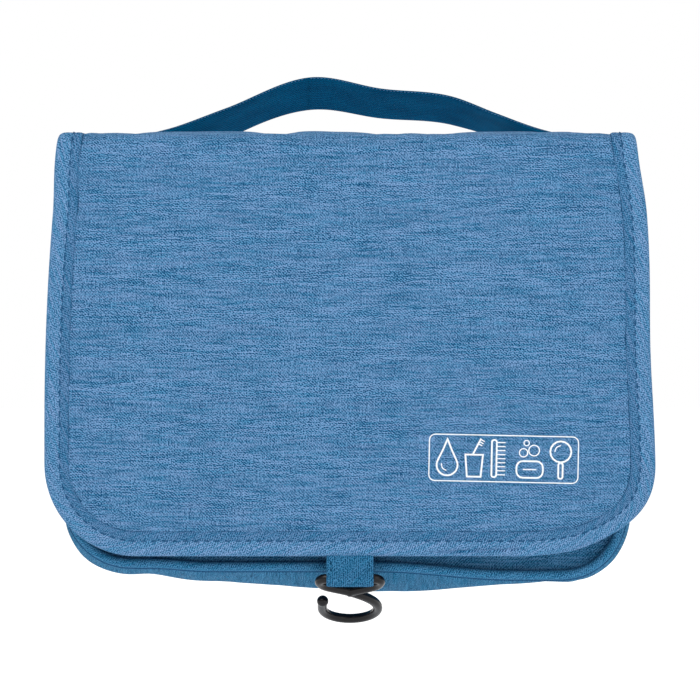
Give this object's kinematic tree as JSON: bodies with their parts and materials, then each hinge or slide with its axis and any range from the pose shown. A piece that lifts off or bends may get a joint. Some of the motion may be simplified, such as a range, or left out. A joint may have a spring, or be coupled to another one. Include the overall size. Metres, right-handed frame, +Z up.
{
  "type": "hanging toiletry bag",
  "caption": "Padded hanging toiletry bag with a fold-over front flap, zipped compartment, mesh pockets, carry strap and a swinging hook on a fabric loop.",
  "frame": {"origin": "centre of the flat back face", "axes": "+X to the right seen from the front, +Y out of the back, +Z up towards the carry strap"},
  "size_m": [0.251, 0.1229, 0.2255],
  "materials": {
    "shell_fabric": "matte heathered woven polyester",
    "binding": "bias-cut woven tape",
    "lining": "thin matte lining cloth",
    "foam": "open-cell padding foam",
    "webbing": "woven webbing",
    "mesh": "knitted mesh",
    "zip_tape": "woven zip tape",
    "zip_chain": "moulded nylon coil",
    "zip_metal": "satin lacquered zinc",
    "hook_plastic": "satin moulded plastic",
    "print": "white screen print",
    "elastic": "woven elastic",
    "magnet": "cloth-covered magnet"
  },
  "bodies": {
    "bag_body": {"back_panel_shell": "shell_fabric", "back_panel_foam": "foam", "back_panel_lining": "lining", "back_binding": "binding", "gusset_shell": "shell_fabric", "gusset_lining": "lining", "front_panel_shell": "shell_fabric", "front_panel_lining": "lining", "front_rim_binding": "binding", "inner_slip_pocket": "lining", "top_flange_rear": "shell_fabric", "top_flange_front": "shell_fabric", "bottle_elastic_band": "elastic", "main_zip_tape": "zip_tape", "main_zip_chain": "zip_chain", "main_zip_stops": "zip_metal", "front_pocket_border": "binding", "front_pocket_mesh": "mesh", "front_pocket_zip_tape": "zip_tape", "front_pocket_zip_chain": "zip_chain", "front_pocket_zip_stops": "zip_metal", "body_closure_magnet": "magnet", "flap_rear_crease": "shell_fabric", "handle_anchors": "webbing"},
    "flap_bridge": {"bridge_lining": "lining", "bridge_foam": "foam", "bridge_shell": "shell_fabric", "bridge_binding": "binding"},
    "flap_front": {"flap_front_crease": "shell_fabric", "flap_lining": "lining", "flap_foam": "foam", "flap_shell": "shell_fabric", "flap_binding": "binding", "flap_print": "print", "flap_pocket_border": "binding", "flap_pocket_mesh": "mesh", "flap_pocket_zip_tape": "zip_tape", "flap_pocket_zip_chain": "zip_chain", "flap_pocket_zip_stops": "zip_metal", "flap_closure_magnet": "magnet"},
    "hook_tab": {"hook_tab_loop": "webbing"},
    "hook": {"hanging_hook": "hook_plastic"},
    "handle": {"handle_strap": "webbing"},
    "main_zip_slider": {"main_zip_slider": "zip_metal"},
    "main_zip_pull": {"main_zip_pull": "zip_metal"},
    "front_pocket_slider": {"front_pocket_zip_slider": "zip_metal"},
    "front_pocket_pull": {"front_pocket_zip_pull": "zip_metal"},
    "flap_pocket_slider": {"flap_pocket_zip_slider": "zip_metal"},
    "flap_pocket_pull": {"flap_pocket_zip_pull": "zip_metal"}
  },
  "joints": [
    {"name": "flap_rear_fold", "type": "hinge", "parent": "bag_body", "child": "flap_bridge", "pos_m": [0, -0.00175, 0.09275], "axis": [-1, 0, 0], "range_deg": [0, 90]},
    {"name": "flap_front_fold", "type": "hinge", "parent": "flap_bridge", "child": "flap_front", "pos_m": [0, -0.08675, 0.09275], "axis": [-1, 0, 0], "range_deg": [0, 90]},
    {"name": "hook_tab_fold", "type": "hinge", "parent": "flap_front", "child": "hook_tab", "pos_m": [0, -0.08675, -0.0805], "axis": [-1, 0, 0], "range_deg": [0, 90]},
    {"name": "hook_swing", "type": "hinge", "parent": "hook_tab", "child": "hook", "pos_m": [0, -0.08675, -0.0881], "axis": [-1, 0, 0], "range_deg": [0, 140]},
    {"name": "handle_swing", "type": "hinge", "parent": "bag_body", "child": "handle", "pos_m": [0, 0.0016, 0.094], "axis": [-1, 0, 0], "range_deg": [-60, 55]},
    {"name": "main_zip_slide", "type": "slide", "parent": "bag_body", "child": "main_zip_slider", "axis": [1, 0, 0], "range_m": [0, 0.189]},
    {"name": "pocket_zip_slide", "type": "slide", "parent": "bag_body", "child": "front_pocket_slider", "axis": [1, 0, 0], "range_m": [0, 0.169]},
    {"name": "flap_zip_slide", "type": "slide", "parent": "flap_front", "child": "flap_pocket_slider", "axis": [1, 0, 0], "range_m": [0, 0.169]},
    {"name": "main_zip_pull_swing", "type": "hinge", "parent": "main_zip_slider", "child": "main_zip_pull", "pos_m": [-0.0945, -0.04, 0.0851], "axis": [0, 0, 1], "range_deg": [-60, 60]},
    {"name": "pocket_zip_pull_swing", "type": "hinge", "parent": "front_pocket_slider", "child": "front_pocket_pull", "pos_m": [-0.0845, -0.0769, 0.008], "axis": [0, -1, 0], "range_deg": [-60, 60]},
    {"name": "flap_zip_pull_swing", "type": "hinge", "parent": "flap_pocket_slider", "child": "flap_pocket_pull", "pos_m": [-0.0845, -0.0829, 0.045], "axis": [0, 1, 0], "range_deg": [-60, 60]}
  ]
}
